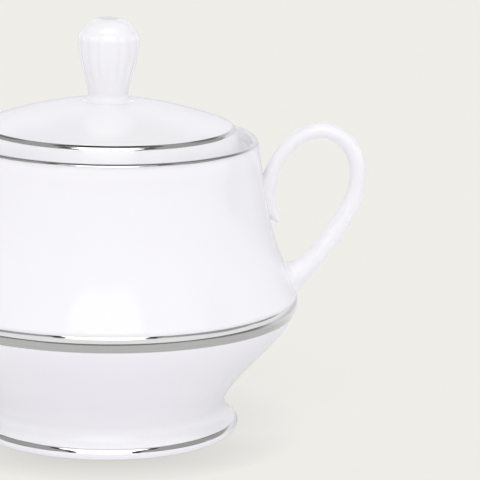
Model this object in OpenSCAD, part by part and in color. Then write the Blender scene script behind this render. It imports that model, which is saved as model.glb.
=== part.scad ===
// Covered sugar bowl of white porcelain with platinum bands: a bell shaped bowl on a
// spreading foot, with two loop handles, and a domed lid with a fluted finial.
// The table is z = 0, the bowl's axis is Z, and the handles lie along X.

/* [Bowl] */
// Radius of the belly over its bead
belly_r = 56; // [54:0.5:58]
// Height of the bead's middle above the table
belly_z = 37.7; // [36:0.1:39]
// Outer radius of the mouth
mouth_r = 43.5; // [42.5:0.25:45]
// Height of the lip
lip_z = 85.6; // [84:0.2:88]
// Radius of the waist above the foot
waist_r = 35.2; // [34.4:0.2:36]
// Height of the waist
waist_z = 8.3; // [7.5:0.1:9]
// Wall thickness of the bowl
wall = 3; // [2.6:0.1:3.4]
// Thickness of the rounded lip
lip_t = 1.9; // [1.6:0.1:2.2]
// Height of the platinum bead round the belly
bead_h = 4.4; // [3.5:0.1:5]
// How far the bead stands out from the wall
bead_out = 0.65; // [0.5:0.05:0.9]

/* [Lid seat] */
// Radius of the hole in the ledge that the lid rests on
gallery_bore_r = 36; // [35.8:0.1:36.6]
// Depth of that ledge below the lip
gallery_drop = 3.4; // [3:0.1:4]
// Thickness of the ledge at its edge
gallery_t = 2; // [1.5:0.1:2.5]

/* [Foot] */
// Outer radius of the foot
foot_r = 39.1; // [38:0.1:40.5]
// Thickness of the foot's rounded edge
foot_edge = 2; // [1.6:0.1:2.4]
// Width of the ring that touches the table
contact_w = 3.2; // [2.5:0.1:4]

/* [Lid] */
// Radius of the lid's shoulder, where the dome meets the skirt
shoulder_r = 36.8; // [36:0.1:37.6]
// Height of the shoulder above the lip
shoulder_rise = 2.7; // [2:0.1:3.4]
// Radius at the bottom of the skirt
skirt_r = 39; // [38.6:0.1:39.6]
// Rise of the dome above the shoulder
dome_rise = 8; // [7:0.25:9]
// Wall thickness of the lid
lid_wall = 2.8; // [2.4:0.1:3.2]
// Play between the lid's skirt and the ledge under it
seat_gap = 0.3; // [0.2:0.05:0.4]
// Outer radius of the locating ring under the lid
flange_r = 35.2; // [34.6:0.1:35.4]
// Thickness of that ring
flange_t = 2.7; // [2.2:0.1:3]
// Depth of that ring
flange_h = 5.5; // [4:0.25:7]

/* [Finial] */
// Radius of the finial at its widest
finial_r = 8.95; // [8.5:0.05:9.3]
// Radius of its neck
neck_r = 5.8; // [5.2:0.1:6.4]
// Height of the finial above the lid
finial_h = 23.6; // [21:0.1:25]
// Number of flutes round the finial
flutes = 16; // [12:1:20]
// Depth of the flutes
flute_depth = 0.35; // [0.2:0.05:0.5]
// Radius of the platinum spot on its tip
tip_r = 3; // [2.5:0.1:3.5]

/* [Handles] */
// Reach of each handle from the bowl's axis
handle_reach = 75.1; // [73:0.1:78]
// Width of a handle's loop from front to back
handle_w = 6.2; // [5:0.2:7]

/* [Platinum] */
// Thickness of the platinum rings, let into the porcelain
band_t = 0.3; // [0.2:0.05:0.4]
// Height of the line on the lip
rim_band_h = 0.65; // [0.5:0.05:0.9]
// Height of the line on the lid's shoulder
lid_band_h = 1.45; // [1:0.05:1.8]
// Height of the line on the foot
foot_band_h = 1.15; // [0.8:0.05:1.5]

/* [Hidden] */
$fn = 96;
curve_n = 14;            // segments in one long curve
arc_n = 10;              // segments in one small rounding
bead_r = (bead_h * bead_h / 4 + bead_out * bead_out) / (2 * bead_out);
bead_angle = asin(bead_h / 2 / bead_r);
wall_r = belly_r - bead_out;               // the wall just above and below the bead
roll_r = 1.5;                              // small rounding of the wall over the bead
roll_angle = 24;                           // slope of the wall where that rounding ends
lip_round = lip_t / 2;
lip_lean = 10;                             // slope of the wall where the lip's rounding starts
gallery_z = lip_z - gallery_drop;
lid_bottom_z = gallery_z + seat_gap;
shoulder_z = lip_z + shoulder_rise;
dome_z = shoulder_z + dome_rise;           // flat pad under the finial
pad_r = 8;
tip_z = dome_z + finial_h;
finial_wide_z = dome_z + 0.733 * finial_h; // height at which the finial is widest
porcelain = [0.95, 0.955, 0.975];
platinum = [0.60, 0.61, 0.62];

// ---- curves, as points [radius, height]

function bezier(p, n = curve_n) = [for (i = [0:n]) let (t = i / n, u = 1 - t)
    u * u * u * p[0] + 3 * u * u * t * p[1] + 3 * u * t * t * p[2] + t * t * t * p[3]];
function arc(c, r, a0, a1, n = arc_n) = [for (i = [0:n]) let (a = a0 + (a1 - a0) * i / n)
    c + r * [cos(a), sin(a)]];

// From the waist up and out under the belly, in two stretches that meet smoothly
under_mid = [waist_r + 12.9, waist_z + 17.1];
under_curve = concat(
    bezier([[waist_r, waist_z], [waist_r, waist_z + 4.1], under_mid - [3.2, 3.4], under_mid]),
    bezier([under_mid, under_mid + [3.5, 3.7], [wall_r - 0.7, belly_z - bead_h / 2 - 2.9],
            [wall_r, belly_z - bead_h / 2]]));
// The raised bead round the belly
bead_curve = arc([belly_r - bead_r, belly_z], bead_r, -bead_angle, bead_angle);
// From the bead over a small rounding, up the nearly straight slope and the upright wall
roll_c = [wall_r - 1.36, belly_z + bead_h / 2 + 0.65];
lip_c = [mouth_r - lip_round, lip_z - lip_round];
roll_top = roll_c + roll_r * [cos(roll_angle), sin(roll_angle)];
bell_low = [wall_r - 4.72, belly_z + 14.4];
wall_curve = concat(
    arc(roll_c, roll_r, -25, roll_angle, 6),
    bezier([roll_top, roll_top + [-1.6, 3.6], bell_low + [1.45, -3.5], bell_low], 8),
    bezier([bell_low, bell_low + [-4.25, 10.3], [mouth_r + 2, lip_z - 12.2],
            lip_c + lip_round * [cos(lip_lean), sin(lip_lean)]]));
lip_curve = arc(lip_c, lip_round, lip_lean, 180);
bowl_curve = concat(under_curve, bead_curve, wall_curve);

// From the waist down over the foot's flare and round its edge
foot_curve = concat(
    bezier([[waist_r, waist_z], [waist_r, waist_z - 2.2], [foot_r - 2.7, foot_edge + 2.5],
            [foot_r - 1.5, foot_edge + 1.7]], 10),
    bezier([[foot_r - 1.5, foot_edge + 1.7], [foot_r - 0.9, foot_edge + 1.3],
            [foot_r - 0.4, foot_edge + 0.8], [foot_r, foot_edge]], 8),
    bezier([[foot_r, foot_edge], [foot_r + 0.25, foot_edge - 0.4], [foot_r - 0.4, 0],
            [foot_r - 1.1, 0]], arc_n));

// From the skirt's bottom up to the shoulder and over the dome
skirt_curve = concat(
    arc([skirt_r - 0.5, lid_bottom_z + 0.5], 0.5, -90, 0, 4),
    bezier([[skirt_r, lid_bottom_z + 0.5], [skirt_r - 0.6, lid_bottom_z + 1.9],
            [shoulder_r + 1, shoulder_z - 2.2], [shoulder_r, shoulder_z]], 8));
dome_curve = concat(
    bezier([[shoulder_r, shoulder_z], [shoulder_r - 0.28, shoulder_z + 0.55],
            [shoulder_r - 0.4, shoulder_z + 1.2], [shoulder_r - 0.8, shoulder_z + 1.4]], 8),
    bezier([[shoulder_r - 0.8, shoulder_z + 1.4], [25.4, dome_z - 2.8],
            [13.1, dome_z - 0.4], [pad_r, dome_z]]));

// Up the finial's neck and its swelling, in over the ribs' ends, and over the smooth crown
crown = [finial_r - 1.35, tip_z - 3.4];
finial_curve = concat(
    bezier([[neck_r + 1.8, dome_z], [neck_r + 0.5, dome_z + 0.3], [neck_r, dome_z + 1],
            [neck_r, dome_z + 2]], 6),
    bezier([[neck_r, dome_z + 2], [neck_r + 0.25, dome_z + 6.2], [finial_r, dome_z + 11],
            [finial_r, finial_wide_z]]),
    bezier([[finial_r, finial_wide_z], [finial_r, finial_wide_z + 1.6],
            crown + [0.7, -0.6], crown], 8),
    bezier([crown, crown + [-0.8, 1.4], [tip_r + 2.6, tip_z - 0.3], [tip_r, tip_z]], arc_n));

// ---- half sections; a section reaches behind the axis and half() cuts it off there

behind = -20;

module half() {
    intersection() {
        children();
        translate([0, -10]) square([120, 160]);
    }
}

// A skin of the platinum's thickness on a section, between two heights
module skin(low, high, inner = 0) {
    intersection() {
        difference() {
            children();
            offset(delta = -band_t) children();
        }
        translate([inner, low]) square([100, high - low]);
    }
}

module bowl_outline() {
    polygon(concat([[behind, waist_z]], bowl_curve, lip_curve, [[behind, lip_z - lip_round]]));
}

module bowl_void() {
    corner = 5;
    mouth_in = mouth_r - lip_t;
    half() {
        intersection() {
            offset(r = corner) offset(delta = -wall - corner) polygon(concat(
                [[behind, waist_z]], bowl_curve, [[behind, lip_z]]));
            translate([behind, 0]) square([100, gallery_z - 1]);
        }
        polygon([[0, lip_z + 1], [mouth_in, lip_z + 1], [mouth_in, lip_z - lip_round],
                 [mouth_in - 0.4, gallery_z], [mouth_in - 0.4, gallery_z - 2],
                 [0, gallery_z - 2]]);
    }
}

module rim_skin() {
    skin(lip_z - rim_band_h, lip_z + 1, 30) bowl_outline();
}

module belly_skin() {
    skin(belly_z - bead_h / 2, belly_z + bead_h / 2, 40) bowl_outline();
}

module foot_outline() {
    inner_r = foot_r - 1.1 - contact_w;
    polygon(concat([[waist_r - 3.2, waist_z]], foot_curve,
                   bezier([[inner_r, 0], [inner_r - 1.2, 0], [inner_r - 1.6, 1.4],
                           [waist_r - 3.2, waist_z]], 8)));
}

module foot_skin() {
    skin(foot_edge, foot_edge + foot_band_h, waist_r) foot_outline();
}

module lid_outline(bottom) {
    polygon(concat([[behind, dome_z], [behind, bottom], [skirt_r - 0.5, bottom]],
                   skirt_curve, dome_curve));
}

module lid_void() {
    half() intersection() {
        offset(r = 2) offset(delta = -lid_wall - 2) lid_outline(behind);
        square([flange_r - flange_t, 200]);
    }
}

module shoulder_skin() {
    skin(shoulder_z, shoulder_z + lid_band_h, shoulder_r - 0.9) lid_outline(lid_bottom_z);
}

module finial_outline() {
    polygon(concat([[behind, dome_z]], finial_curve, [[behind, tip_z]]));
}

module tip_skin() {
    half() intersection() {
        skin(tip_z - 1, tip_z + 1) finial_outline();
        square([tip_r, 200]);
    }
}

// ---- the bowl

module bowl_body() {
    color(porcelain) rotate_extrude() difference() {
        half() bowl_outline();
        bowl_void();
        belly_skin();
        rim_skin();
    }
}

module gallery_ring() {
    color(porcelain) rotate_extrude() intersection() {
        polygon([[gallery_bore_r, gallery_z], [belly_r, gallery_z], [belly_r, gallery_z - 6],
                 [mouth_r, gallery_z - 6], [gallery_bore_r + 1, gallery_z - gallery_t - 0.6],
                 [gallery_bore_r, gallery_z - gallery_t]]);
        bowl_void();
    }
}

module foot() {
    color(porcelain) rotate_extrude() difference() {
        foot_outline();
        foot_skin();
    }
}

module rim_band() {
    color(platinum) rotate_extrude() rim_skin();
}

module belly_band() {
    color(platinum) rotate_extrude() belly_skin();
}

module foot_band() {
    color(platinum) rotate_extrude() foot_skin();
}

// ---- the handles: an oval section swept up the loop and down into a tapered tail.
// Each row is [distance from the axis, height, half thickness, half width].

loop_x = handle_reach - 75.1;
loop_b = handle_w / 2;
loop = [
    [51.0, 42.6, 4.9, loop_b + 2.1],
    [54.4, 45.0, 4.1, loop_b + 1.5],
    [58.2 + loop_x / 2, 48.1, 3.2, loop_b + 0.7],
    [62.2 + loop_x, 52.3, 2.8, loop_b + 0.2],
    [66.6 + loop_x, 58.5, 2.7, loop_b],
    [70.4 + loop_x, 65.3, 2.6, loop_b],
    [72.5 + loop_x, 72.0, 2.45, loop_b],
    [72.5 + loop_x, 78.0, 2.35, loop_b],
    [70.5 + loop_x, 83.3, 2.35, loop_b],
    [66.8 + loop_x, 86.9, 2.4, loop_b],
    [62.1 + loop_x, 88.4, 2.4, loop_b],
    [57.0 + loop_x, 87.2, 2.25, loop_b - 0.1],
    [52.6 + loop_x / 2, 83.9, 2.05, loop_b - 0.2],
    [49.3, 79.4, 2.0, loop_b - 0.3],
    [47.4, 75.0, 2.1, loop_b - 0.4],
    [46.8, 70.6, 1.9, loop_b - 0.6],
    [47.2, 66.4, 1.7, loop_b - 1.0],
    [48.3, 63.2, 1.5, loop_b - 1.5],
    [50.0, 61.3, 0.6, loop_b - 2.3]];
sides = 20;
per_span = 3;

// A smooth curve through every row
function through(p, k, t) = let (
    last = len(p) - 1,
    a = p[max(k - 1, 0)], b = p[k], c = p[min(k + 1, last)], d = p[min(k + 2, last)])
    0.5 * (2 * b + t * (c - a) + t * t * (2 * a - 5 * b + 4 * c - d)
           + t * t * t * (3 * b - a - 3 * c + d));
stations = concat([for (k = [0:len(loop) - 2]) for (j = [0:per_span - 1])
                   through(loop, k, j / per_span)], [loop[len(loop) - 1]]);

function station_normal(i) = let (
    ahead = stations[min(i + 1, len(stations) - 1)],
    back = stations[max(i - 1, 0)],
    d = [ahead[0] - back[0], ahead[1] - back[1]])
    [d[1], -d[0]] / norm(d);

function section(i) = let (s = stations[i], n = station_normal(i))
    [for (j = [0:sides - 1]) let (a = 360 * j / sides)
        [s[0] + n[0] * s[2] * cos(a), s[3] * sin(a), s[1] + n[1] * s[2] * cos(a)]];

module handle_loop() {
    rings = len(stations);
    points = [for (i = [0:rings - 1]) for (p = section(i)) p];
    walls = [for (i = [0:rings - 2]) for (j = [0:sides - 1]) let (k = (j + 1) % sides)
        [i * sides + j, i * sides + k, (i + 1) * sides + k, (i + 1) * sides + j]];
    first_cap = [for (j = [sides - 1:-1:0]) j];
    last_cap = [for (j = [0:sides - 1]) (rings - 1) * sides + j];
    polyhedron(points, concat(walls, [first_cap, last_cap]), convexity = 6);
}

// The loop, cut off flush where it is luted to the wall
module handle_right() {
    color(porcelain) difference() {
        handle_loop();
        rotate_extrude() half() bowl_outline();
    }
}

module handle_left() {
    mirror([1, 0, 0]) handle_right();
}

// ---- the lid

module lid() {
    color(porcelain) rotate_extrude() difference() {
        half() lid_outline(lid_bottom_z);
        lid_void();
        shoulder_skin();
    }
}

module lid_flange() {
    color(porcelain) rotate_extrude() difference() {
        translate([flange_r - flange_t, lid_bottom_z - flange_h]) square([flange_t, flange_h]);
        for (edge = [flange_r - flange_t, flange_r])
            translate([edge, lid_bottom_z - flange_h]) rotate(45) square(1, center = true);
    }
}

module finial() {
    color(porcelain) difference() {
        rotate_extrude() half() difference() {
            finial_outline();
            tip_skin();
        }
        flute_cuts();
    }
}

// Shallow grooves down the swelling of the finial
module flute_cuts() {
    groove_r = 1.6;
    low = [neck_r + 0.75 + groove_r, dome_z + 5];
    high = [finial_r + 0.05 + groove_r - flute_depth, finial_wide_z + 1.4];
    for (i = [0:flutes - 1]) rotate(360 * i / flutes)
        translate([low[0], 0, low[1]])
            rotate([0, atan2(high[0] - low[0], high[1] - low[1]), 0])
                cylinder(h = norm(high - low), r = groove_r, $fn = 24);
}

module lid_band() {
    color(platinum) rotate_extrude() shoulder_skin();
}

module finial_cap() {
    color(platinum) rotate_extrude() tip_skin();
}

bowl_body();
gallery_ring();
foot();
handle_right();
handle_left();
rim_band();
belly_band();
foot_band();
lid();
lid_flange();
finial();
lid_band();
finial_cap();
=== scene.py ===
"""A covered sugar bowl of glazed porcelain with platinum bands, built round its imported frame."""
import math

import bmesh
import bpy
import numpy as np
from mathutils import Matrix, Vector


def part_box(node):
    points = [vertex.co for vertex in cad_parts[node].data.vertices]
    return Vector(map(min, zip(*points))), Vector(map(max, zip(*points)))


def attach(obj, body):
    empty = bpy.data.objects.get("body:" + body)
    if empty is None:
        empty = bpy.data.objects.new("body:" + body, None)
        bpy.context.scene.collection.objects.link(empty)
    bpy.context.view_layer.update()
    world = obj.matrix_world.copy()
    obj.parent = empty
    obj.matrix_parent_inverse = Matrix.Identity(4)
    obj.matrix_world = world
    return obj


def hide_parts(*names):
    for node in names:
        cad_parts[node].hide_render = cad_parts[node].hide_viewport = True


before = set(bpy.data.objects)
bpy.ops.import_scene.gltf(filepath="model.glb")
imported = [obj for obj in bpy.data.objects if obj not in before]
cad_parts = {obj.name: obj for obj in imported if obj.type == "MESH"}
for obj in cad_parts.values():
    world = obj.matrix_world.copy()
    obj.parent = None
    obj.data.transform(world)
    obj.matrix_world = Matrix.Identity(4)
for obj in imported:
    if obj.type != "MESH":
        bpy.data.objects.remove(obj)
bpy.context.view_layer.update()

MM = 0.001
AROUND = 256                      # vertices round a turned piece
SHARP = 38                        # faces that meet at more than this, in degrees, keep their edge


# ---- measures, in mm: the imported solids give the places, the rest are the same shapes' own sizes

def low(node, axis):
    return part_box(node)[0][axis] / MM


def high(node, axis):
    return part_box(node)[1][axis] / MM


belly_r = high("belly_band", 0)
bead_z0, bead_z1 = low("belly_band", 2), high("belly_band", 2)
waist_z = low("bowl_body", 2)
lip_z = high("rim_band", 2)
rim_band_z = low("rim_band", 2)
gallery_z = high("gallery_ring", 2)
foot_band_z0, foot_band_z1 = low("foot_band", 2), high("foot_band", 2)
foot_r = high("foot_band", 0)
lid_z = low("lid", 2)
shoulder_z = low("lid_band", 2)
shoulder_r = high("lid_band", 0)
skirt_r = high("lid", 0)
dome_z = low("finial", 2)
flange_z = low("lid_flange", 2)
flange_r = high("lid_flange", 0)
tip_z = high("finial_cap", 2)
tip_r = high("finial_cap", 0)

BEAD_OUT = 0.65                   # how far the bead stands out from the wall
MOUTH_R = 43.5
LIP_ROUND, LIP_LEAN = 0.95, 10    # the lip's radius, and the lean of the wall below it in degrees
WAIST_R = 35.2
FLOOR_Z = 11.3                    # the inside of the bowl
BORE_R, BORE_ROUND = 36.0, 0.8    # the hole in the ledge, and the rounding of the ledge's edges
LID_T = 2.8                       # the lid at its middle
SKIRT_ROUND = 0.5
FLANGE_T, FLANGE_ROUND, FLANGE_ROOT = 2.7, 0.9, 0.4
SEAT_R = 8.0                      # where the finial stands on the dome
SPREAD_R = 8.6                    # the finial's own foot
NECK_R = 5.8
FINIAL_R = 8.95
wall_r = belly_r - BEAD_OUT


# ---- curves, as rows of [radius, height]

def bezier(*p, n=30):
    p = np.array(p, float)
    t = np.linspace(0, 1, n + 1)[:, None]
    return ((1 - t) ** 3 * p[0] + 3 * (1 - t) ** 2 * t * p[1]
            + 3 * (1 - t) * t ** 2 * p[2] + t ** 3 * p[3])


def arc(centre, radius, a0, a1, n=12):
    a = np.radians(np.linspace(a0, a1, n + 1))[:, None]
    return np.array(centre, float) + radius * np.hstack([np.cos(a), np.sin(a)])


def line(*p, step=1.5):
    """Straight runs through the points, cut into short steps."""
    rows = [np.array(p[0], float)[None]]
    for a, b in zip(np.array(p[:-1], float), np.array(p[1:], float)):
        n = max(1, int(np.linalg.norm(b - a) / step))
        rows.append(a + (b - a) * np.linspace(0, 1, n + 1)[1:, None])
    return np.vstack(rows)


def chain(*runs):
    """The runs one after another, without the points that two neighbours share."""
    rows = np.vstack(runs)
    keep = np.r_[True, np.linalg.norm(np.diff(rows, axis=0), axis=1) > 1e-4]
    return rows[keep]


def off(point, dr, dz):
    return [point[0] + dr, point[1] + dz]


waist = [WAIST_R, waist_z]
under_mid = off(waist, 12.9, 17.1)
under_end = [wall_r, bead_z0]
under_curve = chain(
    bezier(waist, off(waist, 0, 4.1), off(under_mid, -3.2, -3.4), under_mid),
    bezier(under_mid, off(under_mid, 3.5, 3.7), off(under_end, -0.7, -2.9), under_end))

bead_h = bead_z1 - bead_z0
bead_round = (bead_h ** 2 / 4 + BEAD_OUT ** 2) / (2 * BEAD_OUT)
bead_angle = math.degrees(math.asin(bead_h / 2 / bead_round))
bead_curve = arc([belly_r - bead_round, (bead_z0 + bead_z1) / 2], bead_round,
                 -bead_angle, bead_angle, 24)

# A small roll over the bead, then the bell shaped wall up to the lip
roll_curve = arc([wall_r - 1.36, bead_z1 + 0.65], 1.5, -25, 24, 16)
roll_top = list(roll_curve[-1])
lip_centre = [MOUTH_R - LIP_ROUND, lip_z - LIP_ROUND]
lip_curve = arc(lip_centre, LIP_ROUND, LIP_LEAN, 180, 20)
bell_low = [wall_r - 4.72, bead_z1 + 12.2]
wall_curve = chain(
    roll_curve,
    bezier(roll_top, off(roll_top, -1.6, 3.6), off(bell_low, 1.45, -3.5), bell_low, n=24),
    bezier(bell_low, off(bell_low, -4.25, 10.3), [MOUTH_R + 2, lip_z - 12.2],
           list(lip_curve[0]), n=72))
outside = chain(under_curve, bead_curve, wall_curve)

# Down inside the mouth, round the ledge that the lid rests on, and down to the bowl's floor
ledge_under = [39.4, gallery_z - 3.9]
bell_in = [42.3, gallery_z - 7.7]
bell_foot = [49.9, 45.8]
belly_in = [52.4, 37.5]
under_in = [48.6, 30.4]
floor_edge = [34.1, 13.6]
floor_end = [29.5, FLOOR_Z]
inside = chain(
    line([41.6, lip_centre[1]], [41.25, gallery_z + 0.9]),
    arc([40.4, gallery_z + BORE_ROUND], BORE_ROUND, 0, -90, 8),
    line([40.3, gallery_z], [BORE_R + BORE_ROUND, gallery_z]),
    arc([BORE_R + BORE_ROUND, gallery_z - BORE_ROUND], BORE_ROUND, 90, 180, 8),
    bezier([BORE_R, gallery_z - 1.1], [BORE_R, gallery_z - 2.2], [37.2, gallery_z - 2.8],
           ledge_under, n=12),
    bezier(ledge_under, [41.4, gallery_z - 4.9], [42.0, gallery_z - 5.6], bell_in, n=12),
    bezier(bell_in, [43.9, 63.4], [46.2, 53.4], bell_foot),
    bezier(bell_foot, [51.5, 42.4], [52.4, 41.0], belly_in, n=16),
    bezier(belly_in, [52.4, 35.4], [50.6, 32.9], under_in, n=16),
    bezier(under_in, [44.0, 25.0], [38.2, 19.4], floor_edge),
    bezier(floor_edge, [33.0, 12.1], [31.5, FLOOR_Z], floor_end, n=12),
    line(floor_end, [0, FLOOR_Z], step=3))

foot_brow = [foot_r - 1.5, foot_band_z0 + 1.7]
foot_edge = [foot_r, foot_band_z0]
foot_curve = chain(
    bezier(waist, off(waist, 0, -2.2), off(foot_brow, -1.2, 0.8), foot_brow, n=24),
    bezier(foot_brow, off(foot_brow, 0.6, -0.4), off(foot_edge, -0.4, 0.8), foot_edge, n=20),
    bezier(foot_edge, off(foot_edge, 0.25, -0.4), [foot_r - 0.4, 0], [foot_r - 1.1, 0], n=16))
contact_r = foot_r - 4.3
recess_mid = [contact_r - 2.4, waist_z - 2.6]
recess_r = contact_r - 5.8
foot_inside = chain(
    bezier([contact_r, 0], [contact_r - 1.3, 0], [contact_r - 1.9, 2.0], recess_mid, n=20),
    bezier(recess_mid, off(recess_mid, -0.3, 1.7), [contact_r - 3.6, waist_z - 0.15],
           [recess_r, waist_z - 0.04], n=16))

shoulder = [shoulder_r, shoulder_z]
over, brow = off(shoulder, -0.35, 0.6), off(shoulder, -0.85, 1.12)
skirt_low = [skirt_r, lid_z + SKIRT_ROUND]
skirt_curve = chain(
    arc(off(skirt_low, -SKIRT_ROUND, 0), SKIRT_ROUND, -90, 0, 8),
    bezier(skirt_low, [skirt_r - 0.6, lid_z + 1.9], off(shoulder, 1, -2.2), shoulder))
shoulder_curve = chain(
    bezier(shoulder, off(shoulder, -0.12, 0.25), off(over, 0.1, -0.2), over, n=8),
    bezier(over, off(over, -0.1, 0.15), off(brow, 0.22, -0.2), brow, n=12))
dome_curve = chain(
    shoulder_curve,
    bezier(brow, [25.4, dome_z - 2.8], [13.1, dome_z - 0.4], [SEAT_R, dome_z], n=60))

hollow_z = dome_z - LID_T
hollow_edge = [30.2, dome_z - 7.65]
flange_in = flange_r - FLANGE_T
flange_round_z = flange_z + FLANGE_ROUND
lid_inside = chain(
    line([0, hollow_z], [SEAT_R, hollow_z], step=2),
    bezier([SEAT_R, hollow_z], [12.6, dome_z - 3.2], [23.6, dome_z - 5.5], hollow_edge, n=30),
    bezier(hollow_edge, [31.8, dome_z - 8.2], [flange_in, dome_z - 9.0],
           [flange_in, dome_z - 10.6], n=12),
    line([flange_in, dome_z - 10.6], [flange_in, flange_round_z]),
    arc([flange_in + FLANGE_ROUND, flange_round_z], FLANGE_ROUND, 180, 270, 8),
    arc([flange_r - FLANGE_ROUND, flange_round_z], FLANGE_ROUND, 270, 360, 8),
    line([flange_r, flange_round_z], [flange_r, lid_z - FLANGE_ROOT]),
    arc([flange_r + FLANGE_ROOT, lid_z - FLANGE_ROOT], FLANGE_ROOT, 180, 90, 6),
    line([flange_r + 0.5, lid_z], [skirt_r - SKIRT_ROUND, lid_z]))

wide = [FINIAL_R, dome_z + 0.733 * (tip_z - dome_z)]
crown = [FINIAL_R - 1.35, tip_z - 3.4]
spread = [7.6, dome_z + 0.02]
neck = [NECK_R, dome_z + 2]
finial_curve = chain(
    bezier([SPREAD_R, dome_z - 0.12], [8.2, dome_z], [7.9, dome_z], spread, n=4),
    bezier(spread, [6.3, dome_z + 0.3], off(neck, 0, -1), neck, n=16),
    bezier(neck, off(neck, 0.25, 4.2), [FINIAL_R, dome_z + 11], wide, n=60),
    bezier(wide, off(wide, 0, 1.6), off(crown, 0.7, -0.6), crown, n=20),
    bezier(crown, off(crown, -0.8, 1.4), [tip_r + 2.6, tip_z - 0.3], [tip_r, tip_z], n=30))


# ---- meshes

def piece(name, verts, faces, material, body, slot, nodes):
    """A smooth mesh from rows in mm: its material and body, and the CAD nodes it replaces. Its slot
    is not used.
    """
    mesh = bpy.data.meshes.new(name)
    mesh.from_pydata((np.asarray(verts) * MM).tolist(), [], faces)
    bm = bmesh.new()
    bm.from_mesh(mesh)
    bmesh.ops.recalc_face_normals(bm, faces=bm.faces)
    bm.to_mesh(mesh)
    bm.free()
    mesh.shade_smooth()
    mesh.set_sharp_from_angle(angle=math.radians(SHARP))
    mesh.materials.append(material)
    made = bpy.data.objects.new(name, mesh)
    bpy.context.scene.collection.objects.link(made)
    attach(made, body)
    if nodes:
        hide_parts(*nodes)


def turned(profile, relief=None, around=AROUND):
    """Vertices and faces of a profile turned round Z: from axis to axis, or a closed loop.
    relief(radius, height, angle) gives each vertex its own radius."""
    angles = np.arange(around) * 2 * math.pi / around
    verts, rows = [], []
    for radius, height in profile:
        if radius < 1e-6:
            rows.append([len(verts)])
            verts.append([0.0, 0.0, height])
            continue
        rows.append(list(range(len(verts), len(verts) + around)))
        spread_to = radius if relief is None else relief(radius, height, angles)
        xy = np.stack([np.cos(angles), np.sin(angles)], 1) * np.reshape(spread_to, (-1, 1))
        verts.extend(np.column_stack([xy, np.full(around, height)]).tolist())
    pairs = list(zip(rows[:-1], rows[1:]))
    if len(rows[0]) > 1:
        pairs.append((rows[-1], rows[0]))
    faces = []
    for a, b in pairs:
        for j in range(around):
            k = (j + 1) % around
            if len(a) == 1:
                faces.append((a[0], b[j], b[k]))
            elif len(b) == 1:
                faces.append((a[j], b[0], a[k]))
            else:
                faces.append((a[j], b[j], b[k], a[k]))
    return verts, faces


def along(curve, z0, z1):
    """The stretch of a rising or falling curve between two heights."""
    rows = curve if curve[0][1] < curve[-1][1] else curve[::-1]
    z = np.r_[z0, rows[(rows[:, 1] > z0) & (rows[:, 1] < z1)][:, 1], z1]
    return np.column_stack([np.interp(z, rows[:, 1], rows[:, 0]), z])


def unit_steps(rows):
    """The direction of a curve of [distance, height] at each of its rows."""
    d = np.gradient(rows[:, :2], axis=0)
    return d / np.linalg.norm(d, axis=1)[:, None]


FILM_PROUD, FILM_DEPTH = 0.03, 0.12
FILM_TUCK, FILM_LAP = 0.01, 0.02  # its edges end a little under the glaze and a little further on


def film(rows):
    """A thin closed loop on a stretch of profile: proud of it outside, and let in behind."""
    d = unit_steps(rows)
    n = np.column_stack([d[:, 1], -d[:, 0]])
    first = rows[0] - n[0] * FILM_TUCK - d[0] * FILM_LAP
    last = rows[-1] - n[-1] * FILM_TUCK + d[-1] * FILM_LAP
    behind = (rows - n * FILM_DEPTH)[::-1]
    return np.vstack([first[None], rows + n * FILM_PROUD, last[None], behind])


SMOOTH_HALF, SMOOTH_WIDTH = 9, 3.6            # rows each way, and the bell curve's width in rows
ROW_STEP = 0.45


def catmull(rows, per_span=24):
    """A smooth curve through every row, evened out so that its bends change gently."""
    rows = np.asarray(rows, float)
    ext = np.vstack([2 * rows[0] - rows[1], rows, 2 * rows[-1] - rows[-2]])
    out = []
    for a, b, c, d in zip(ext[:-3], ext[1:-2], ext[2:-1], ext[3:]):
        for t in np.arange(per_span) / per_span:
            out.append(0.5 * (2 * b + t * (c - a) + t * t * (2 * a - 5 * b + 4 * c - d)
                              + t ** 3 * (3 * b - a - 3 * c + d)))
    out = np.vstack(out + [rows[-1]])
    span = np.r_[0, np.cumsum(np.linalg.norm(np.diff(out[:, :2], axis=0), axis=1))]
    even = np.arange(0, span[-1], ROW_STEP)
    out = np.column_stack([np.interp(even, span, column) for column in out.T])
    half = SMOOTH_HALF
    kernel = np.exp(-0.5 * (np.arange(-half, half + 1) / SMOOTH_WIDTH) ** 2)
    kernel /= kernel.sum()
    padded = np.vstack([2 * out[0] - out[half:0:-1], out,
                        2 * out[-1] - out[-2:-half - 2:-1]])
    return np.column_stack([np.convolve(column, kernel, "valid") for column in padded.T])


# ---- materials

def shader(name):
    """A new material, its Principled BSDF, its node tree and the object's coordinates."""
    material = bpy.data.materials.new(name)
    material.use_nodes = True
    tree = material.node_tree
    coords = tree.nodes.new("ShaderNodeTexCoord").outputs["Object"]
    return material, tree.nodes["Principled BSDF"], tree, coords


def noise(tree, coords, scale, detail=2.0, rough=0.5):
    made = tree.nodes.new("ShaderNodeTexNoise")
    made.inputs["Scale"].default_value = scale
    made.inputs["Detail"].default_value = detail
    made.inputs["Roughness"].default_value = rough
    tree.links.new(coords, made.inputs["Vector"])
    return made.outputs["Fac"]


def remap(tree, value, a, b, c, d):
    """The value's stretch from a to b, as c to d, and no further at either end."""
    made = tree.nodes.new("ShaderNodeMapRange")
    for socket, number in zip(("From Min", "From Max", "To Min", "To Max"), (a, b, c, d)):
        made.inputs[socket].default_value = number
    tree.links.new(value, made.inputs["Value"])
    return made.outputs["Result"]


def noise_range(tree, value, c, d):
    """A noise as c to d: it seldom leaves the middle of its range."""
    return remap(tree, value, 0.3, 0.7, c, d)


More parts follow.
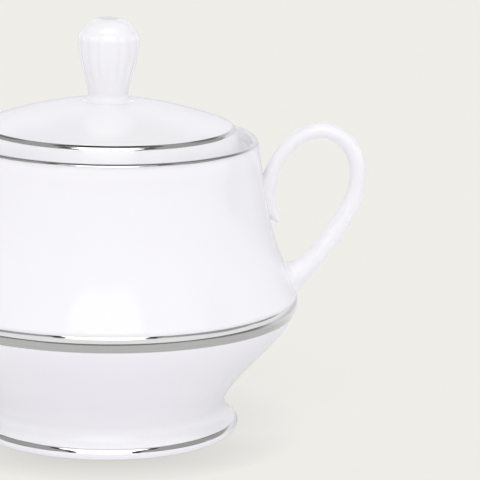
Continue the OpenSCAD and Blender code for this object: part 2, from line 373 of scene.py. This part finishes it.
def blend_colour(tree, factor, a, b):
    made = tree.nodes.new("ShaderNodeMix")
    made.data_type = "RGBA"
    made.inputs["A"].default_value = (*a, 1)
    made.inputs["B"].default_value = (*b, 1)
    tree.links.new(factor, made.inputs["Factor"])
    return made.outputs["Result"]


def axes(tree, vector):
    parts = tree.nodes.new("ShaderNodeSeparateXYZ")
    tree.links.new(vector, parts.inputs[0])
    return parts.outputs


def bump_from(tree, height, strength, distance):
    bump = tree.nodes.new("ShaderNodeBump")
    bump.inputs["Strength"].default_value = strength
    bump.inputs["Distance"].default_value = distance
    tree.links.new(height, bump.inputs["Height"])
    return bump.outputs["Normal"]


CHINA = (0.893, 0.886, 0.911), (0.907, 0.899, 0.925)      # its colour clouds between these
THICK_PASS, LIP_PASS = 0.1, 0.7                           # the share of light that passes into it
THICK_REACH, LIP_REACH = 0.0008, 0.003                    # how far it gets, m
LIP_THICK, LIP_THIN = lip_z - 9, lip_z - 3                # the wall thins towards the lip, mm


def porcelain_material(name, whiter=1.0, thin_lip=False):
    """White bone china under a clear gloss glaze. Light passes through a thin lip."""
    material, bsdf, tree, coords = shader(name)
    links = tree.links
    cloud = noise_range(tree, noise(tree, coords, 22, 3), 0, 1)
    # whiter lifts the colour: painted light, for a piece that would otherwise come out darker than
    # the bowl
    tints = [[whiter * c for c in tint] for tint in CHINA]
    links.new(blend_colour(tree, cloud, *tints), bsdf.inputs["Base Color"])
    links.new(noise_range(tree, noise(tree, coords, 900), 0.30, 0.38), bsdf.inputs["Roughness"])
    bsdf.inputs["Specular IOR Level"].default_value = 0.1
    bsdf.inputs["Subsurface Weight"].default_value = THICK_PASS
    bsdf.inputs["Subsurface Radius"].default_value = (1.0, 0.95, 0.9)
    bsdf.inputs["Subsurface Scale"].default_value = THICK_REACH
    if thin_lip:
        height = axes(tree, coords)["Z"]
        ends = LIP_THICK * MM, LIP_THIN * MM
        links.new(remap(tree, height, *ends, THICK_PASS, LIP_PASS),
                  bsdf.inputs["Subsurface Weight"])
        links.new(remap(tree, height, *ends, THICK_REACH, LIP_REACH),
                  bsdf.inputs["Subsurface Scale"])
    bsdf.inputs["Coat Weight"].default_value = 1.0
    bsdf.inputs["Coat Roughness"].default_value = 0.035
    bsdf.inputs["Coat IOR"].default_value = 1.5
    wavy = bump_from(tree, noise(tree, coords, 55, 2, 0.4), 0.25, 0.0004)
    links.new(wavy, bsdf.inputs["Coat Normal"])
    links.new(wavy, bsdf.inputs["Normal"])
    return material


def platinum_material():
    """Fired platinum: a bright film laid on with a brush round the ware."""
    material, bsdf, tree, coords = shader("fired_platinum")
    streak = tree.nodes.new("ShaderNodeMapping")
    streak.inputs["Scale"].default_value = (1, 1, 14)
    tree.links.new(coords, streak.inputs["Vector"])
    brushed = noise(tree, streak.outputs["Vector"], 180, 4)
    tree.links.new(blend_colour(tree, noise_range(tree, brushed, 0, 1),
                                (0.725, 0.723, 0.727), (0.765, 0.763, 0.763)),
                   bsdf.inputs["Base Color"])
    tree.links.new(noise_range(tree, brushed, 0.04, 0.08), bsdf.inputs["Roughness"])
    bsdf.inputs["Metallic"].default_value = 1.0
    return material


def bisque_material():
    """The unglazed ring under the foot: fine, matt and a little worn grey where it slides."""
    material, bsdf, tree, coords = shader("bisque_porcelain")
    wear = noise(tree, coords, 260, 4, 0.6)
    tree.links.new(blend_colour(tree, remap(tree, wear, 0.45, 0.75, 0, 1),
                                (0.80, 0.79, 0.77), (0.62, 0.61, 0.59)),
                   bsdf.inputs["Base Color"])
    grain = noise(tree, coords, 2600)
    tree.links.new(noise_range(tree, grain, 0.75, 0.95), bsdf.inputs["Roughness"])
    tree.links.new(bump_from(tree, grain, 0.4, 0.00005), bsdf.inputs["Normal"])
    return material


porcelain = porcelain_material("glazed_porcelain")
thrown = porcelain_material("bowl_porcelain", thin_lip=True)
# painted light: the handles and finial get the same china 3% whiter, which lightens them against
# the shade they get beside the bowl
lightened_porcelain = porcelain_material("porcelain_painted_lighter", whiter=1.03)   # handles and finial
platinum = platinum_material()
bisque = bisque_material()


# ---- the bowl

RIM_TOP = 97                      # how far round the lip the platinum goes, degrees from outside
FOOT_TOP = waist_z + 0.48         # the foot's mesh reaches into the bowl's
GLAZE_STOP = 0.06                 # the glaze stops this far above the table
RING_T = 0.2                      # how far up the bare ring reaches inside the glaze


def bowl():
    profile = chain(line([0, waist_z], waist, step=3), outside, lip_curve[1:], inside)
    piece("bowl_glazed", *turned(profile), thrown, "bowl", "porcelain",
          ["bowl_body", "gallery_ring"])


def foot():
    glazed = chain(foot_curve, foot_inside, [[recess_r, FOOT_TOP]], [[WAIST_R - 1, FOOT_TOP]])
    glazed[:, 1] = np.maximum(glazed[:, 1], GLAZE_STOP)
    piece("foot_glazed", *turned(glazed), porcelain, "bowl", "porcelain", ["foot"])
    inner, outer = contact_r + 0.2, foot_r - 1.25
    ring = chain(line([inner + 0.15, 0], [outer - 0.15, 0], step=0.5),
                 bezier([outer - 0.15, 0], [outer - 0.05, 0], [outer, 0.03], [outer, RING_T], n=6),
                 line([outer, RING_T], [inner, RING_T], step=0.5),
                 bezier([inner, RING_T], [inner, 0.03], [inner + 0.05, 0],
                        [inner + 0.15, 0], n=6)[:-1])
    piece("bisque_ring", *turned(ring), bisque, "bowl", "porcelain", [])


def bands():
    lowest = math.degrees(math.asin(1 - (lip_z - rim_band_z) / LIP_ROUND))
    rim = arc(lip_centre, LIP_ROUND, lowest, RIM_TOP, 16)
    foot_line = along(foot_curve, foot_band_z0, foot_band_z1)
    for name, rows, body, node in (("platinum_rim", rim, "bowl", "rim_band"),
                                   ("platinum_belly", bead_curve, "bowl", "belly_band"),
                                   ("platinum_foot", foot_line, "bowl", "foot_band"),
                                   ("platinum_shoulder", shoulder_curve, "lid", "lid_band")):
        piece(name, *turned(film(rows)), platinum, body, "platinum", [node])


# ---- the handles: rows of [distance from the axis, height, half thickness, half width]

LOOP = [
    [52.2, 43.5, 4.6, 5.0], [54.4, 45.0, 4.1, 4.6], [58.2, 48.1, 3.2, 3.8],
    [62.2, 52.3, 2.8, 3.3], [66.6, 58.5, 2.7, 3.1], [70.4, 65.3, 2.6, 3.1],
    [72.5, 72.0, 2.45, 3.1], [72.5, 78.0, 2.35, 3.1], [70.5, 83.3, 2.35, 3.1],
    [66.8, 86.9, 2.4, 3.1], [62.1, 88.4, 2.4, 3.1], [57.0, 87.2, 2.25, 3.0],
    [52.6, 83.9, 2.05, 2.9], [49.3, 79.4, 2.0, 2.8], [47.4, 75.0, 2.1, 2.7],
    [46.8, 70.6, 1.9, 2.5], [47.2, 66.4, 1.7, 2.1], [48.3, 63.2, 1.5, 1.6],
    [50.0, 61.3, 0.6, 0.8]]
SIDES = 48
CAP_ROWS, CAP_LEAST = 7, 0.02     # the tail's rounded end, and how small its last row stays
FILLET_LOW, FILLET_HIGH = 2.2, 1.3
FLARE = 0.8                       # how much of a full round the fillets are
EMBED = 1.1                       # how far a handle's ends reach into the wall


def wall_distance(points):
    """How far points lie outside the bowl's wall, and the wall's outward direction there."""
    radius = np.hypot(points[..., 0], points[..., 1])
    z = points[..., 2]

    def wall(height):
        return np.interp(height, outside[:, 1], outside[:, 0])

    slope = wall(z + 0.5) - wall(z - 0.5)
    size = np.sqrt(1 + slope ** 2)
    flat = 1 / size
    push = np.stack([points[..., 0] / radius * flat, points[..., 1] / radius * flat,
                     -slope / size], -1)
    return (radius - wall(z)) / size, push


def handle(side, node):
    stations = catmull(LOOP)
    ahead = unit_steps(stations)
    end, last = stations[-1], ahead[-1]
    quarter = np.linspace(0, math.pi / 2, CAP_ROWS + 1)[1:]
    caps = np.array([[*(end[:2] + last * end[2] * math.sin(t)),
                      end[2] * math.cos(t) + CAP_LEAST,
                      end[3] * math.cos(t) + CAP_LEAST] for t in quarter])
    rings = np.vstack([stations, caps])
    ahead = np.vstack([ahead, np.repeat(last[None], len(caps), axis=0)])
    nx, nz = ahead[:, 1:], -ahead[:, :1]
    a = np.arange(SIDES) * 2 * math.pi / SIDES
    ca, sa = np.cos(a)[None], np.sin(a)[None]
    out = np.stack([nx * ca, sa + 0 * nx, nz * ca], -1)
    points = np.stack([rings[:, :1] + nx * rings[:, 2:3] * ca,
                       rings[:, 3:4] * sa,
                       rings[:, 1:2] + nz * rings[:, 2:3] * ca], -1)
    # near the wall the surface spreads into a fillet, and its ends stop inside the wall
    lower = np.linspace(1, 0, len(rings))[:, None] > 0.5
    fillet = np.where(lower, FILLET_LOW, FILLET_HIGH)
    depth = wall_distance(points)[0]
    near = np.clip(1 - depth / fillet, 0, 0.98)
    flare = fillet * (1 - np.sqrt(1 - near ** 2)) * FLARE
    points = points + out * flare[..., None]
    depth, push = wall_distance(points)
    points = points + push * np.clip(-EMBED - depth, 0, None)[..., None]
    points[..., 0] *= side
    count = len(rings)
    faces = [(i * SIDES + j, i * SIDES + (j + 1) % SIDES,
              (i + 1) * SIDES + (j + 1) % SIDES, (i + 1) * SIDES + j)
             for i in range(count - 1) for j in range(SIDES)]
    faces.append(tuple(range(SIDES - 1, -1, -1)))
    faces.append(tuple((count - 1) * SIDES + j for j in range(SIDES)))
    piece(node + "_glazed", points.reshape(-1, 3), faces, lightened_porcelain, "bowl", "porcelain", [node])


# ---- the lid

FLUTES = 16
FLUTED_AROUND = FLUTES * 24       # vertices round the finial
FLUTE_DEPTH = 0.34
FLUTE_START, FLUTE_RISE = 1.5, 9  # above the dome: where they begin, and the height to full depth
FLUTE_STOP, FLUTE_FALL = 0.1, 1.1 # under the crown: where they end, and the height of the round end
VALLEY = 0.96                     # how sharp the valleys between the ribs are, at most 1
TIP_FLAT, TIP_AROUND = 1.5, 96
FINIAL_SUNK = 0.6                 # how far the finial's mesh reaches into the dome


def ease(t):
    return t * t * (3 - 2 * t)


def lid():
    profile = chain(lid_inside, skirt_curve, dome_curve,
                    line([SEAT_R, dome_z], [0, dome_z], step=2))
    piece("lid_glazed", *turned(profile), porcelain, "lid", "porcelain", ["lid", "lid_flange"])


def flute(radius, height, angle):
    """Ribs with narrow valleys, which fade out at the neck and end round under the crown."""
    up = np.clip((height - dome_z - FLUTE_START) / FLUTE_RISE, 0, 1)
    down = np.clip((crown[1] - FLUTE_STOP - height) / FLUTE_FALL, 0, 1)
    phase = (angle + math.pi / 2) * FLUTES / 2
    valley = 1 - np.sqrt(1 - np.cos(phase) ** 2 * VALLEY)
    return radius - FLUTE_DEPTH * ease(up) * ease(down) * valley


def finial():
    base = dome_z - FINIAL_SUNK
    profile = chain([[0, base]], [[SPREAD_R, base]], finial_curve, [[TIP_FLAT, tip_z]],
                    [[0, tip_z]])
    piece("finial_glazed", *turned(profile, flute, FLUTED_AROUND), lightened_porcelain, "lid", "porcelain",
          ["finial"])
    # the spot on the tip, in heights from the tip: under the glaze, round the edge and over the top
    cap = np.array([[0, -0.2], [tip_r - 0.15, -0.2], [tip_r + 0.02, -0.02],
                    [tip_r - 0.05, 0.012], [tip_r - 0.4, 0.028], [TIP_FLAT, 0.032], [0, 0.032]])
    piece("platinum_tip", *turned(cap + [0, tip_z], around=TIP_AROUND), platinum, "lid", "platinum",
          ["finial_cap"])


bowl()
foot()
bands()
handle(1, "handle_right")
handle(-1, "handle_left")
lid()
finial()


# ---- the studio. Directions in the world are x right, y back and z up, each from -1 to 1.

CAMERA_AT = 0, -0.8158, 0.2346
PITCH, YAW, ROLL = 12.37, 2.723, 1.218        # degrees
LENS, SENSOR = 215.4, 36

# The floor: its own glow and matt colour, and how much the glow dims under the bowl, a painted
# shadow that is stronger in front
FLOOR_HALF = 5
FLOOR_TINT = (0.863, 0.855, 0.815)
FLOOR_GLOW = 0.80
FLOOR_MATT = 0.19
PAINTED_SHADOW_REACH = 0.026
PAINTED_SHADOW_SIDE, PAINTED_SHADOW_FRONT = 0.08, 0.34
PAINTED_SHADOW_FROM, PAINTED_SHADOW_TO = -0.01, -0.04       # the y from the one to the other
PAINTED_SHADOW_SHUT, PAINTED_SHADOW_OPEN = 0.35, 1.0        # the openness over which it dims
BOUNCE_TINT = (1.0, 0.985, 1.045)             # what it gives to the bowl
BOUNCE_GLOW = 0.785

# The tabletop that the glaze and platinum mirror
TABLE_HALF, TABLE_Z = 0.24, 0.00005
TABLE_TINT = (1.0, 1.0, 0.98)
# a glow, not lit: painted reflection of the tabletop, dimmer in front of the bowl where it lies in
# the bowl's shade
TABLE_FRONT, TABLE_BACK = 0.60, 0.90
TABLE_FROM, TABLE_TO = 0, 0.1                 # the y from the one to the other

# The walls that they mirror, as rows of (height, level), in front and behind
FRONT = [(-1, 0.24), (0.0, 0.24), (0.017, 1.0), (0.3, 0.99), (0.60, 0.99), (0.66, 0.42),
         (0.93, 0.42), (0.96, 0.2), (1, 0.2)]
BACK = [(-1, 0.7), (0.0, 0.75), (0.05, 0.85), (0.5, 0.9), (0.65, 0.45), (1, 0.2)]
BACK_BLUE = 1.06
BACK_FROM, BACK_TO = 0.15, 0.45               # the y over which the back takes over
BACK_LATER, BACK_LATER_BY = 0.45, 0.1         # later by this much, from this height up
LOWER_SIDE, LOWER_BACK = 0.27, 0.2            # the front's levels come lower at the side, and more
SIDE_FROM, SIDE_TO = -0.75, -0.2              # past it: the y where the first of these comes in,
PAST_FROM, PAST_TO = 0.2, 0.5                 # and the y where the second is added
LOWER_RISE, LOWER_FALL = (0.02, 0.3), (0.6, 0.95)     # the heights where that begins and ends

# The even light that reaches the porcelain
FILL_FRONT, FILL_BACK, FILL_RIGHT = 0.765, 0.97, 0.03
FILL_Y, FILL_X = (-0.3, 0.5), (0.6, 0.95)

# The softbox, on a plane square to its direction at distance 1: u across it and v up it
BOX_TILT = 55                                 # degrees above level
BOX_MIRRORED, BOX_LIGHT = 2.1, 3.25
BOX_LOW, BOX_HIGH = -0.435, 0.24
BOX_SPAN = 0.5                                # its sides are given from -BOX_SPAN to BOX_SPAN
BOX_SIDES = [(-0.5, 0.20), (-0.43, 0.25), (-0.36, 0.41), (-0.25, 0.39), (-0.18, 0.35), (0.0, 0.42),
             (0.13, 0.54), (0.5, 0.56)]
BOX_EDGE = 0.008
FRAME_W, FRAME_BELOW, FRAME_TOP = 0.14, 0.02, 0.40
FRAME_LEVEL = 0.04
FRAME_LOW, FRAME_FADE = 0.25, (-0.32, -0.26)  # how black it is at its low end, and the v of that


def camera():
    pitch, yaw, roll = math.radians(PITCH), math.radians(YAW), math.radians(ROLL)
    ahead = Vector((math.sin(yaw) * math.cos(pitch), math.cos(yaw) * math.cos(pitch),
                    -math.sin(pitch)))
    level = Vector((math.cos(yaw), -math.sin(yaw), 0))
    upright = level.cross(ahead)
    right = level * math.cos(roll) + upright * math.sin(roll)
    up = upright * math.cos(roll) - level * math.sin(roll)
    data = bpy.data.cameras.new("camera")
    data.lens = LENS
    data.sensor_width = SENSOR
    data.clip_start = 0.05
    data.clip_end = 50
    made = bpy.data.objects.new("camera", data)
    turn = Matrix((right, up, -ahead)).transposed().to_4x4()
    made.matrix_world = Matrix.Translation(CAMERA_AT) @ turn
    bpy.context.scene.collection.objects.link(made)
    bpy.context.scene.camera = made


def plane(name, half, z, material):
    mesh = bpy.data.meshes.new(name)
    mesh.from_pydata([(-half, -half, z), (half, -half, z), (half, half, z), (-half, half, z)],
                     [], [(0, 1, 2, 3)])
    mesh.materials.append(material)
    made = bpy.data.objects.new(name, mesh)
    bpy.context.scene.collection.objects.link(made)
    return made


def calc(tree, operation, *values):
    """A Math node on sockets and numbers."""
    made = tree.nodes.new("ShaderNodeMath")
    made.operation = operation
    for socket, value in zip(made.inputs, values):
        if isinstance(value, bpy.types.NodeSocket):
            tree.links.new(value, socket)
        else:
            socket.default_value = value
    return made.outputs[0]


def mix(tree, factor, a, b):
    return calc(tree, "ADD", calc(tree, "MULTIPLY", a, calc(tree, "SUBTRACT", 1.0, factor)),
                calc(tree, "MULTIPLY", b, factor))


def glowing(name):
    """A new material with a glow only: it, its node tree, the glow and the object's Y."""
    material, bsdf, tree, coords = shader(name)
    tree.nodes.remove(bsdf)
    return material, tree, tree.nodes.new("ShaderNodeEmission"), axes(tree, coords)["Y"]


def floor():
    """A pale floor. Its own soft glow evens it out; the light on it adds some of the bowl's soft
    shadow, and near the foot the glow is dimmed, more in front: a painted shadow.
    """
    material, tree, glow, y = glowing("pale_floor")
    seen = tree.nodes.new("ShaderNodeLightPath").outputs["Is Camera Ray"]
    # painted shadow: the floor's glow is dimmed where the occlusion finds the bowl close by, more
    # in front of it than at its sides
    shadow_occlusion = tree.nodes.new("ShaderNodeAmbientOcclusion")
    shadow_occlusion.samples = 8
    shadow_occlusion.inputs["Distance"].default_value = PAINTED_SHADOW_REACH
    strength = remap(tree, y, PAINTED_SHADOW_FROM, PAINTED_SHADOW_TO, PAINTED_SHADOW_SIDE, PAINTED_SHADOW_FRONT)
    shut = remap(tree, shadow_occlusion.outputs["AO"], PAINTED_SHADOW_SHUT, PAINTED_SHADOW_OPEN, 1.0, 0.0)
    painted_shadow_dim = calc(tree, "SUBTRACT", 1.0, calc(tree, "MULTIPLY", strength, shut))
    tree.links.new(blend_colour(tree, seen, BOUNCE_TINT, FLOOR_TINT), glow.inputs["Color"])
    level = mix(tree, seen, BOUNCE_GLOW, calc(tree, "MULTIPLY", painted_shadow_dim, FLOOR_GLOW))
    tree.links.new(level, glow.inputs["Strength"])
    matt = tree.nodes.new("ShaderNodeBsdfDiffuse")
    matt.inputs["Color"].default_value = (*[FLOOR_MATT * c for c in FLOOR_TINT], 1)
    both = tree.nodes.new("ShaderNodeAddShader")
    tree.links.new(glow.outputs[0], both.inputs[0])
    tree.links.new(matt.outputs[0], both.inputs[1])
    tree.links.new(both.outputs[0], tree.nodes["Material Output"].inputs["Surface"])
    made = plane("floor", FLOOR_HALF, 0, material)
    made.visible_glossy = False


def mirrored_table():
    """The tabletop as the glaze and platinum mirror it. Nothing else meets it."""
    material, tree, glow, y = glowing("table_mirrored")
    glow.inputs["Color"].default_value = (*TABLE_TINT, 1)
    tree.links.new(remap(tree, y, TABLE_FROM, TABLE_TO, TABLE_FRONT, TABLE_BACK),
                   glow.inputs["Strength"])
    tree.links.new(glow.outputs[0], tree.nodes["Material Output"].inputs["Surface"])
    table = plane("table_reflection", TABLE_HALF, TABLE_Z, material)
    table.visible_camera = table.visible_diffuse = table.visible_shadow = False
    table.visible_transmission = False


def surroundings():
    """What is mirrored: bright walls above a dark strip at the table's edge, higher in front than
    at the sides, a dim ceiling, and an eight sided softbox in a black frame, high in front. The
    softbox and an even fill light the scene. The camera sees only the floor's colour."""
    world = bpy.data.worlds.new("studio")
    bpy.context.scene.world = world
    world.use_nodes = True
    tree = world.node_tree
    toward = tree.nodes.new("ShaderNodeTexCoord").outputs["Generated"]
    rays = tree.nodes.new("ShaderNodeLightPath").outputs
    x, y, z = axes(tree, toward)

    def ramp(value, start, end, stops):
        """A level that goes straight from one (value, level) to the next."""
        made = tree.nodes.new("ShaderNodeValToRGB")
        tree.links.new(remap(tree, value, start, end, 0, 1), made.inputs["Fac"])
        elements = made.color_ramp.elements
        while len(elements) < len(stops):
            elements.new(0.5)
        for element, (at, level) in zip(elements, stops):
            element.position = (at - start) / (end - start)
            element.color = (level, level, level, 1)
        return made.outputs["Color"]

    def along_axis(vector):
        dot = tree.nodes.new("ShaderNodeVectorMath")
        dot.operation = "DOT_PRODUCT"
        tree.links.new(toward, dot.inputs[0])
        dot.inputs[1].default_value = vector
        return dot.outputs["Value"]

    lower = calc(tree, "ADD", remap(tree, y, SIDE_FROM, SIDE_TO, 0, LOWER_SIDE),
                 remap(tree, y, PAST_FROM, PAST_TO, 0, LOWER_BACK))
    lower = calc(tree, "MULTIPLY", lower, calc(
        tree, "MULTIPLY", remap(tree, z, *LOWER_RISE, 0, 1), remap(tree, z, *LOWER_FALL, 1, 0)))
    front = ramp(calc(tree, "ADD", z, lower), -1, 1, FRONT)
    back = ramp(z, -1, 1, BACK)
    later = remap(tree, z, 0, BACK_LATER_BY, 0, BACK_LATER)
    behind = remap(tree, calc(tree, "SUBTRACT", y, later), BACK_FROM, BACK_TO, 0, 1)
    fill = calc(tree, "ADD", remap(tree, y, *FILL_Y, FILL_FRONT, FILL_BACK),
                remap(tree, x, *FILL_X, 0, FILL_RIGHT))
    room = mix(tree, rays["Is Diffuse Ray"], mix(tree, behind, front, back), fill)

    tilt = math.radians(BOX_TILT)
    ahead = along_axis((0, -math.cos(tilt), math.sin(tilt)))
    ahead = calc(tree, "MAXIMUM", ahead, 0.05)              # nothing is divided by zero
    u = calc(tree, "ABSOLUTE", calc(tree, "DIVIDE", x, ahead))
    v = calc(tree, "DIVIDE", along_axis((0, math.sin(tilt), math.cos(tilt))), ahead)
    past_side = calc(tree, "SUBTRACT", u, ramp(v, -BOX_SPAN, BOX_SPAN, BOX_SIDES))

    def within(side, below, above):
        """1 inside the softbox, or inside an outline that lies further out, and 0 beyond."""
        past_end = calc(tree, "MAXIMUM", calc(tree, "SUBTRACT", BOX_LOW - below, v),
                        calc(tree, "SUBTRACT", v, BOX_HIGH + above))
        past = calc(tree, "MAXIMUM", calc(tree, "SUBTRACT", past_side, side), past_end)
        return remap(tree, past, -BOX_EDGE, BOX_EDGE, 1, 0)

    frame_dark = remap(tree, v, *FRAME_FADE, FRAME_LOW, 1)
    in_frame = calc(tree, "MULTIPLY", within(FRAME_W, FRAME_BELOW, FRAME_TOP), frame_dark)
    framed = mix(tree, in_frame, room, FRAME_LEVEL)
    box_level = mix(tree, rays["Is Diffuse Ray"], BOX_MIRRORED, BOX_LIGHT)
    lit = mix(tree, within(0, 0, 0), framed, box_level)
    blue = calc(tree, "MULTIPLY", lit, remap(tree, behind, 0, 1, 1.0, BACK_BLUE))
    tint = tree.nodes.new("ShaderNodeCombineXYZ")
    for value, socket in zip((lit, lit, blue), tint.inputs):
        tree.links.new(value, socket)
    shown = tree.nodes.new("ShaderNodeMix")
    shown.data_type = "RGBA"
    tree.links.new(rays["Is Camera Ray"], shown.inputs["Factor"])
    tree.links.new(tint.outputs[0], shown.inputs["A"])
    shown.inputs["B"].default_value = (*FLOOR_TINT, 1)
    tree.links.new(shown.outputs["Result"], tree.nodes["Background"].inputs["Color"])


camera()
floor()
mirrored_table()
surroundings()
bpy.context.scene.view_settings.view_transform = "Standard"
